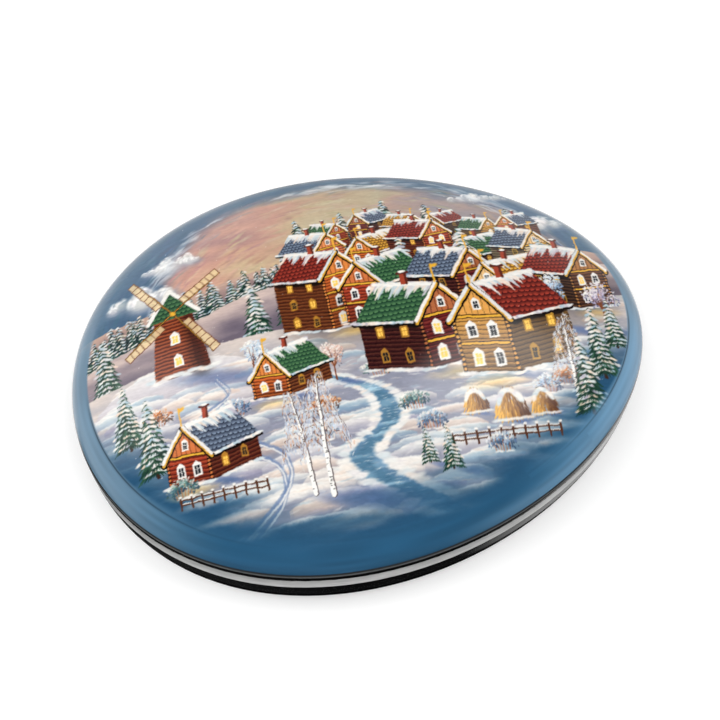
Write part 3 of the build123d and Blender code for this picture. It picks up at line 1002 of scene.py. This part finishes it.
def main_scene():
    """A winter village with a mill on its hill, a frozen stream and a farmyard, under a rosy sky."""
    c = Canvas(CANVAS_HALF_X, CANVAS_HALF_Y, PIXELS_PER_MM)
    paint_far(c)
    paint_field(c, *NEAR_FIELD)
    snow_field(c, *SNOW_FIELD)
    mill_hill(c)
    long_shadow(c, *MILL[:3])
    windmill(c, *MILL)
    house_row(c, *MIDDLE_ROW)
    frozen_stream(c)
    sledge_track(c)
    for spot in NEAR_HOUSES + NEAR_FIRS + HAYSTACKS + FROSTED + BIRCHES:
        long_shadow(c, *spot[:3])
    blue_foreground(c)
    paint_near(c)
    for _ in range(FLAKES):
        x0, y0 = RNG.uniform(-66, 66), RNG.uniform(-30, 46)
        c.dab(x0, y0, 0.3, 0.3, 0, SNOW_LIGHT, RNG.uniform(0.3, 0.7), 0.4)
    hand_drawn(c)
    return c


# The painted skin of the lid

def square_to_disc(count):
    """Points of a square grid laid over the unit disc: radius and angle of each."""
    side = np.linspace(-1.0, 1.0, count)
    u, v = np.meshgrid(side, side)
    wide = np.abs(u) >= np.abs(v)
    safe_u = np.where(np.abs(u) < 1e-9, 1e-9, u)
    safe_v = np.where(np.abs(v) < 1e-9, 1e-9, v)
    radius = np.where(wide, u, v)
    angle = np.where(wide, math.pi / 4 * v / safe_u, math.pi / 2 - math.pi / 4 * u / safe_v)
    angle = np.where(radius < 0.0, angle + math.pi, angle)
    return np.abs(radius).ravel(), angle.ravel()


def skin_foot(angle):
    """Height of the paint's lower edge; it is raised above the hinge."""
    along = np.abs(HALF_LENGTH * np.cos(angle) - HINGE_MIDDLE)
    clear = 1.0 - smooth_step(HINGE_REACH, HINGE_REACH + 1.5, along)
    return SKIN_FOOT + (HINGE_FOOT - SKIN_FOOT) * np.where(np.sin(angle) > 0.0, clear, 0.0)


def lid_points(radius, angle):
    """Points on the outside of the lid, in millimetres, from the unit disc.

    The dome takes the middle of the disc and the rounded shoulder its rim."""
    dome = clamp(radius / CREASE_RADIUS)
    drop = clamp((radius - CREASE_RADIUS) / (1.0 - CREASE_RADIUS))
    arc_length = RIM_RADIUS * RIM_SWEEP
    run = drop * (arc_length + RIM_STRAIGHT - skin_foot(angle))
    sweep = RIM_SWEEP - np.minimum(run, arc_length) / RIM_RADIUS
    inset = RIM_RADIUS * (1.0 - np.cos(sweep))
    x = dome * (HALF_LENGTH - inset) * np.cos(angle)
    y = dome * (HALF_WIDTH - inset) * np.sin(angle) * (1.0 - EGG_TAPER * np.cos(angle))
    side_z = LID_BOTTOM + RIM_STRAIGHT + RIM_RADIUS * np.sin(sweep) - np.maximum(run - arc_length, 0.0)
    dome_z = SHOULDER_TOP + DOME_RISE * (1.0 - dome ** DOME_FULLNESS)
    return np.stack([x, y, np.where(drop > 0.0, side_z, dome_z)], axis=-1)


def lid_shell(radius, angle, proud):
    """The same points moved along the outward normal, in metres and in the part's frame."""
    step = 1e-3
    along = lid_points(clamp(radius + step), angle) - lid_points(clamp(radius - step), angle)
    off_middle = np.maximum(radius, 0.02)
    around = lid_points(off_middle, angle + step) - lid_points(off_middle, angle - step)
    normal = np.cross(along, around)
    normal /= np.maximum(np.linalg.norm(normal, axis=-1, keepdims=True), 1e-9)
    return (lid_points(radius, angle) + proud * normal + (0.0, CENTRE_Y, 0.0)) * MM


def sample(canvas, x, y):
    """Canvas colours at places between its pixels."""
    column = np.clip((x + canvas.half_x) * canvas.scale - 0.5, 0.0, canvas.columns - 1.001)
    row = np.clip((y + canvas.half_y) * canvas.scale - 0.5, 0.0, canvas.rows - 1.001)
    c0, r0 = column.astype(int), row.astype(int)
    low = mixed(canvas.rgb[r0, c0], canvas.rgb[r0, c0 + 1], column - c0)
    high = mixed(canvas.rgb[r0 + 1, c0], canvas.rgb[r0 + 1, c0 + 1], column - c0)
    return mixed(low, high, row - r0)


def to_linear(srgb):
    srgb = clamp(srgb)
    return np.where(srgb <= 0.04045, srgb / 12.92, ((srgb + 0.055) / 1.055) ** 2.4)


def border_colours(across, away, height):
    """Border blue by direction and height; painted reflection lightens the right, and in part the ends and
    back.
    """
    # painted reflection on the front right
    right = smooth_step(0.0, 0.3, across) * smooth_step(-0.1, 0.3, -away)
    ends = smooth_step(0.55 - 0.20 * right, 0.95 - 0.10 * right, np.abs(across))
    sides = mixed(BORDER_ENDS, BORDER_RIGHT_SHEEN, right)
    border = mixed(mixed(BORDER_BACK, BORDER_FRONT, smooth_step(-0.05, 0.20, -away)), sides, ends)
    # painted reflection towards the lower edge at the right, fading out between 5 and 8 mm up
    right_low_sheen = smooth_step(0.10, 0.45, across) * smooth_step(-0.1, 0.3, -away)
    low = BORDER_LOW_SHEEN_SHARE * right_low_sheen * (1.0 - smooth_step(5.0, 8.0, height))
    return mixed(border, BORDER_LOW_SHEEN, low)


def lid_colours(radius, angle):
    """Paint on each point of the skin: the picture, the blue border with its painted reflection, the black
    edge and its grey line.
    """
    points = lid_points(radius, angle)
    across, away = np.cos(angle), np.sin(angle)
    front = smooth_step(0.35, 0.95, -away)
    back = smooth_step(0.22, 0.50, away)
    height = np.where(radius > CREASE_RADIUS, points[:, 2] - LID_BOTTOM, 1e3)
    border = border_colours(across, away, height)
    canvas = main_scene()
    brushed = smooth_noise(70.0 * angle / math.pi - 35.0, 500.0 * radius - 450.0, 4.0, 5.0)
    border = border * (0.94 + 0.12 * brushed)[:, None]
    into_border = smooth_step(CREASE_RADIUS - 0.004 - 0.07 * front - 0.03 * back,
                              CREASE_RADIUS + 0.002 + 0.035 * front + 0.03 * back, radius)
    colour = sample(canvas, points[:, 0], points[:, 1])
    colour = mixed(colour, border, into_border * (1.0 - SKY_OVER_BORDER * back))
    crease = clamp(1.0 - np.abs(radius - CREASE_RADIUS - 0.003) / CREASE_WIDTH)
    front_corners = smooth_step(-0.05, 0.20, -away) * (1.0 - front)
    colour = mixed(colour, CREASE_TONE, CREASE_SHARE * crease * front_corners)
    for top, tone in EDGE_TONES:
        colour = mixed(colour, tone, 1.0 - smooth_step(top - EDGE_SOFT, top + EDGE_SOFT, height))
    return to_linear(colour)


def outside_grid(index):
    """Faces between the points of a square grid, and their places on the bake map."""
    quads = [index[:-1, :-1], index[:-1, 1:], index[1:, 1:], index[1:, :-1]]
    faces = np.stack(quads, axis=-1).reshape(-1, 4)
    side = np.linspace(0.0, 1.0, len(index))
    places = np.stack(np.meshgrid(side, side * OUTSIDE_SHARE), axis=-1).reshape(-1, 2)
    return faces, places[faces.ravel()]


def hidden_underside(loop, angle, first):
    """Rings of points from the edge to one in the middle, their faces, and their places on the bake map.

    loop numbers the points of the edge, and first is the number of the first new point."""
    m = len(loop)
    points, faces, maps = [], [], []
    rings = [loop]
    for k in range(UNDER_RINGS):
        points.append(lid_shell(np.full(m, 1.0 - k / UNDER_RINGS), angle[loop], -SKIN_SUNK))
        rings.append(first + k * m + np.arange(m))
    points.append(lid_shell(np.zeros(1), np.zeros(1), -SKIN_SUNK))
    rings.append(np.full(m, first + UNDER_RINGS * m))
    levels = np.linspace(OUTSIDE_SHARE + 0.01, 1.0, UNDER_RINGS + 2)
    here, ahead = np.arange(m) / m, (np.arange(m) + 1) / m
    u = np.stack([ahead, here, here, ahead], axis=-1)
    for k in range(UNDER_RINGS + 1):
        upper, lower = rings[k], rings[k + 1]
        strip = np.stack([np.roll(upper, -1), upper, lower, np.roll(lower, -1)], axis=-1)
        sides = 3 if k == UNDER_RINGS else 4
        v = np.tile(levels[[k, k, k + 1, k + 1]][:sides], m)
        faces.append(strip[:, :sides])
        maps.append(np.stack([u[:, :sides].ravel(), v], axis=-1))
    return points, faces, maps


def smooth_mesh(name, vertices, faces):
    """A smooth mesh from arrays of points and of faces."""
    mesh = bpy.data.meshes.new(name)
    mesh.vertices.add(len(vertices))
    mesh.vertices.foreach_set("co", vertices.astype(np.float32).ravel())
    corners = np.concatenate([some.ravel() for some in faces])
    mesh.loops.add(len(corners))
    mesh.loops.foreach_set("vertex_index", corners.astype(np.int32))
    counts = np.concatenate([np.full(len(some), some.shape[1]) for some in faces])
    mesh.polygons.add(len(counts))
    mesh.polygons.foreach_set("loop_start", (np.cumsum(counts) - counts).astype(np.int32))
    mesh.update(calc_edges=True)
    mesh.polygons.foreach_set("use_smooth", np.ones(len(counts), bool))
    return mesh


def make_lid_skin():
    """The lid's coat of paint and lacquer: a thin closed shell, dense enough to carry the picture."""
    n = SKIN_GRID
    radius, angle = square_to_disc(n)
    index = np.arange(n * n).reshape(n, n)
    outside, outside_map = outside_grid(index)
    loop = np.concatenate([index[0, :-1], index[:-1, -1], index[-1, :0:-1], index[:0:-1, 0]])
    points, faces, maps = hidden_underside(loop, angle, n * n)
    vertices = np.concatenate([lid_shell(radius, angle, SKIN_PROUD), *points])
    mesh = smooth_mesh("lid_paint", vertices, [outside, *faces])
    colours = np.ones((len(vertices), 4), np.float32)
    colours[:, :3] = to_linear(np.asarray(BORDER_FRONT))
    colours[:n * n, :3] = lid_colours(radius, angle)
    paint = mesh.attributes.new("Paint", "FLOAT_COLOR", "POINT")
    paint.data.foreach_set("color", colours.ravel())
    uv = mesh.uv_layers.new(name="OFBake")
    uv.data.foreach_set("uv", np.concatenate([outside_map, *maps]).astype(np.float32).ravel())
    skin = bpy.data.objects.new("lid_paint", mesh)
    bpy.context.collection.objects.link(skin)
    return skin


# Materials

def new_material(name):
    material = bpy.data.materials.new(name)
    material.use_nodes = True
    return material, material.node_tree, material.node_tree.nodes["Principled BSDF"]


def set_values(made, **values):
    """Sets each value on the shader node's input of that name, or else on the node."""
    for key, value in values.items():
        label = key.replace("_", " ")
        if label in made.inputs:
            made.inputs[label].default_value = value
        else:
            setattr(made, key, value)


def node(tree, kind, **values):
    made = tree.nodes.new(kind)
    set_values(made, **values)
    return made


def link(source, output, target, socket):
    source.id_data.links.new(source.outputs[output], target.inputs[socket])


def noise_at(tree, scale, detail, stretch=(1.0, 1.0, 1.0)):
    """Noise fixed to the piece, its scale in waves per metre."""
    place = node(tree, "ShaderNodeTexCoord")
    mapping = node(tree, "ShaderNodeMapping", Scale=stretch)
    noise = node(tree, "ShaderNodeTexNoise", Scale=scale, Detail=detail, Roughness=0.6)
    link(place, "Object", mapping, "Vector")
    link(mapping, "Vector", noise, "Vector")
    return noise


def two_tones(tree, noise, dark, light, spread):
    """Colour that wanders between two tones with the noise."""
    tone = node(tree, "ShaderNodeValToRGB")
    for element, colour, position in zip(tone.color_ramp.elements, (dark, light), spread):
        element.position = position
        element.color = tuple(colour) + (1.0,)
    link(noise, "Fac", tone, "Fac")
    return tone


def uneven_gloss(tree, noise, shader, low, high):
    gloss = node(tree, "ShaderNodeMapRange", To_Min=low, To_Max=high)
    link(noise, "Fac", gloss, "Value")
    link(gloss, "Result", shader, "Roughness")


def scaled(colour, factor):
    return tuple(factor * v for v in colour)


def toned_material(name, scale, detail, tones, spread, gloss, **finish):
    """A surface that wanders between two tones and two roughnesses with the same noise."""
    material, tree, shader = new_material(name)
    noise = noise_at(tree, scale, detail)
    link(two_tones(tree, noise, *tones, spread), "Color", shader, "Base Color")
    uneven_gloss(tree, noise, shader, *gloss)
    set_values(shader, **finish)
    return material


def picture_material():
    """Tempera and oil under clear lacquer, coloured by the skin's own points."""
    material, tree, shader = new_material("lid_paint")
    paint = node(tree, "ShaderNodeAttribute", attribute_name="Paint")
    link(paint, "Color", shader, "Base Color")
    brush = noise_at(tree, BRUSH_GRAIN, 4.0)
    bump = node(tree, "ShaderNodeBump", Strength=0.12, Distance=0.0002)
    link(brush, "Fac", bump, "Height")
    link(bump, "Normal", shader, "Normal")
    set_values(shader, Roughness=0.45, Specular_IOR_Level=0.08, Coat_Weight=1.0, Coat_Roughness=0.05)
    return material


def lacquer_material(name, colour, uneven):
    """Glossy lacquer with a slight unevenness of colour and gloss."""
    tones = (scaled(colour, 1.0 - uneven), scaled(colour, 1.0 + uneven))
    return toned_material(name, LACQUER_GRAIN, 5.0, tones, (0.3, 0.75), (0.10, 0.20),
                          Coat_Weight=0.6, Coat_Roughness=0.04)


def silver_material():
    """Silver paint, streaked along the band, with painted light from the floor that makes it brighter towards
    its lower edge.
    """
    material, tree, shader = new_material("silver_paint")
    streak = noise_at(tree, 1.0, 6.0, SILVER_GRAIN)
    tone = two_tones(tree, streak, SILVER_DULL, SILVER_BRIGHT, (0.25, 0.8))
    place = node(tree, "ShaderNodeTexCoord")
    split = node(tree, "ShaderNodeSeparateXYZ")
    link(place, "Object", split, "Vector")
    # painted light from below: the band grows brighter towards its foot, as if the floor lit it
    band_foot = SEAM_HEIGHT - BAND_HEIGHT
    low = node(tree, "ShaderNodeMapRange", From_Min=band_foot * MM, From_Max=SEAM_HEIGHT * MM, To_Min=1.4,
               To_Max=0.9)
    link(split, "Z", low, "Value")
    lit = node(tree, "ShaderNodeVectorMath", operation="SCALE")
    link(tone, "Color", lit, 0)
    link(low, "Result", lit, "Scale")
    link(lit, "Vector", shader, "Base Color")
    set_values(shader, Metallic=0.12, Roughness=0.42, Coat_Weight=0.5, Coat_Roughness=0.06)
    return material


def metal_material(name, colour):
    """Handled metal: fine scratches and duller patches."""
    tones = (scaled(colour, 0.55), colour)
    return toned_material(name, METAL_GRAIN, 6.0, tones, (0.3, 0.62), (0.22, 0.45), Metallic=1.0)


def of_faces(faces, kind):
    """One vector of each face, such as its middle."""
    values = np.zeros(len(faces) * 3, np.float32)
    faces.foreach_get(kind, values)
    return values.reshape(-1, 3)


def dress(name, materials, choose=None):
    """Gives a CAD node its materials; choose picks the second one by each face's middle and normal."""
    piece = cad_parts[name]
    piece.data.materials.clear()
    for material in materials:
        piece.data.materials.append(material)
    faces = piece.data.polygons
    second = np.zeros(len(faces), bool)
    if choose:
        second = choose(of_faces(faces, "center") / MM, of_faces(faces, "normal"))
    faces.foreach_set("material_index", second.astype(np.int32))


def outward(middles, normals):
    """How far a face looks away from the middle of the box."""
    return normals[:, 0] * middles[:, 0] + normals[:, 1] * middles[:, 1]


def on_band(middles, normals):
    height = middles[:, 2]
    in_band = (height > SEAM_HEIGHT - BAND_HEIGHT) & (height < SEAM_HEIGHT - 0.3)
    return in_band & (outward(middles, normals) > 5.0)


def inside(middles, normals):
    return outward(middles, normals) < -5.0


def dress_box():
    black = lacquer_material("black_lacquer", BLACK, 0.2)
    red = lacquer_material("red_lacquer", RED, 0.07)
    brass = metal_material("hinge_brass", BRASS)
    dress("body_wall", [black, silver_material()], on_band)
    dress("base_plate", [black, red], lambda middles, normals: normals[:, 2] > 0.5)
    dress("locating_lip", [black, red], inside)
    dress("lid_rim", [black, red], inside)
    dress("lid_dome", [red])
    for name in ("hinge_leaf_body", "hinge_leaf_lid", "hinge_body_pins", "hinge_lid_pins"):
        dress(name, [brass])
    dress("hinge_pin", [metal_material("pin_steel", STEEL)])


# Camera and studio

def make_camera():
    forward = Vector((0.0, math.cos(CAMERA_RISE), -math.sin(CAMERA_RISE)))
    up = Vector((0.0, math.sin(CAMERA_RISE), math.cos(CAMERA_RISE)))
    right = Vector((1.0, 0.0, 0.0))
    place = -CAMERA_DISTANCE * forward + CAMERA_RIGHT * right + CAMERA_UP * up
    turn = Matrix.Rotation(-CAMERA_TURN, 3, "Z")
    place = turn @ place + Vector((0.0, CENTRE_Y, 0.0))
    axes = Matrix((turn @ right, turn @ up, turn @ -forward)).transposed()
    lens = bpy.data.cameras.new("camera")
    lens.lens = LENS_MM
    lens.sensor_width = SENSOR_MM
    lens.clip_start = 0.01
    camera = bpy.data.objects.new("camera", lens)
    camera.matrix_world = Matrix.Translation(place * MM) @ axes.to_4x4()
    bpy.context.collection.objects.link(camera)
    bpy.context.scene.camera = camera


def area_light(name, place, size, watts):
    """A soft light that looks at the box and isn't mirrored in its lacquer."""
    lamp = bpy.data.lights.new(name, "AREA")
    lamp.shape = "RECTANGLE"
    lamp.size, lamp.size_y = size
    lamp.energy = watts
    light = bpy.data.objects.new(name, lamp)
    light.location = place
    light.rotation_euler = (-Vector(place)).to_track_quat("-Z", "Y").to_euler()
    light.visible_glossy = False
    bpy.context.collection.objects.link(light)


def ring(half_x, half_y, height, taper=0.0):
    """Points round an oval, narrower at the right by the taper."""
    points = []
    for k in range(STAGE_SIDES):
        turn = 2.0 * math.pi * k / STAGE_SIDES
        across, away = math.cos(turn), math.sin(turn)
        points.append((half_x * across, half_y * away * (1.0 - taper * across), height))
    return points


def stage_piece(name, points, faces, seen_by, **finish):
    """A piece of the studio that only some rays see: seen_by names them."""
    mesh = bpy.data.meshes.new(name)
    mesh.from_pydata(points, [], faces)
    material, tree, shader = new_material(name)
    set_values(shader, **finish)
    mesh.materials.append(material)
    piece = bpy.data.objects.new(name, mesh)
    for rays in ("camera", "diffuse", "glossy", "shadow"):
        setattr(piece, "visible_" + rays, rays in seen_by)
    bpy.context.collection.objects.link(piece)
    return tree, shader


def light_floor(tree, shader):
    """The floor grows lighter away from the box, so that its far edge doesn't show before the backdrop."""
    place = node(tree, "ShaderNodeTexCoord")
    away = node(tree, "ShaderNodeVectorMath", operation="LENGTH")
    link(place, "Object", away, 0)
    glow = eased(away, "Value", FLOOR_NEAR, FLOOR_FAR, FLOOR_GLOW, 1.0)
    link(glow, "Result", shader, "Emission Strength")


def make_stage():
    """A pale floor, a white backdrop, and a dark card of painted shade under the box that only the lacquer
    mirrors.
    """
    disc = [list(range(STAGE_SIDES))]
    white = (1.0, 1.0, 1.0, 1.0)
    edge = ring(FLOOR_RADIUS, FLOOR_RADIUS, -FLOOR_DROP)
    floor = stage_piece("floor", edge, disc, ("camera", "diffuse", "shadow"), Emission_Color=white,
                        Base_Color=(0.85, 0.85, 0.85, 1.0), Roughness=0.7, Specular_IOR_Level=0.1)
    light_floor(*floor)
    # painted shade: a black card, seen only in reflections, stands in for the shaded floor beneath the box
    card = ring(HALF_LENGTH * MM, HALF_WIDTH * MM, -SHADE_DROP, EGG_TAPER)
    stage_piece("mirrored_shade_card", card, disc, ("glossy",),
                Base_Color=(0.002, 0.002, 0.002, 1.0), Roughness=1.0, Specular_IOR_Level=0.0)
    walls = edge + ring(FLOOR_RADIUS, FLOOR_RADIUS, BACKDROP_HEIGHT)
    ahead = [(k + 1) % STAGE_SIDES for k in range(STAGE_SIDES)]
    panels = [(k, ahead[k], STAGE_SIDES + ahead[k], STAGE_SIDES + k) for k in range(STAGE_SIDES)]
    stage_piece("backdrop", walls, panels, ("camera",), Base_Color=(0.9, 0.9, 0.9, 1.0),
                Emission_Color=white, Emission_Strength=1.0, Roughness=0.9, Specular_IOR_Level=0.0)


def eased(source, output, low, high, start, end):
    """A value that goes smoothly from start to end while the source goes from low to high."""
    ease = node(source.id_data, "ShaderNodeMapRange", From_Min=low, From_Max=high, To_Min=start, To_Max=end)
    ease.interpolation_type = "SMOOTHSTEP"
    link(source, output, ease, "Value")
    return ease


def combined(operation, first, *others):
    """Values joined one after the other by the same operation."""
    for other in others:
        joint = node(first.id_data, "ShaderNodeMath", operation=operation)
        link(first, 0, joint, 0)
        link(other, 0, joint, 1)
        first = joint
    return first


def studio_world():
    """A white tent that is bright at the back and low down at the sides, and dark on the camera's side."""
    world = bpy.data.worlds.new("studio")
    world.use_nodes = True
    tree = world.node_tree
    direction = node(tree, "ShaderNodeTexCoord")
    split = node(tree, "ShaderNodeSeparateXYZ")
    link(direction, "Generated", split, "Vector")
    part = {name: eased(split, *values) for name, values in TENT.items()}
    table = combined("MULTIPLY", part["right"], part["right_table"])
    lower = combined("MAXIMUM", part["above"], part["behind"], table)
    gap = combined("MAXIMUM", part["left_of_gap"], part["right_of_gap"])
    lit = combined("MULTIPLY", part["back"], part["low"], lower, gap)
    for aim, strength in GLOWS:
        towards = node(tree, "ShaderNodeVectorMath", operation="DOT_PRODUCT")
        link(direction, "Generated", towards, 0)
        towards.inputs[1].default_value = aim
        glow = eased(towards, "Value", GLOW_EDGE, GLOW_CORE, 0.0, strength)
        lit = combined("ADD", lit, glow)
    background = tree.nodes["Background"]
    background.inputs["Color"].default_value = (1.0, 1.0, 1.0, 1.0)
    link(lit, "Value", background, "Strength")
    bpy.context.scene.world = world


def make_studio():
    studio_world()
    for name, values in LIGHTS.items():
        area_light(name, *values)
    bpy.context.scene.view_settings.view_transform = "Standard"
    bpy.context.scene.view_settings.look = "None"
    make_stage()


dress_box()
skin = make_lid_skin()
skin.data.materials.append(picture_material())
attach(skin, "lid")
make_studio()
make_camera()
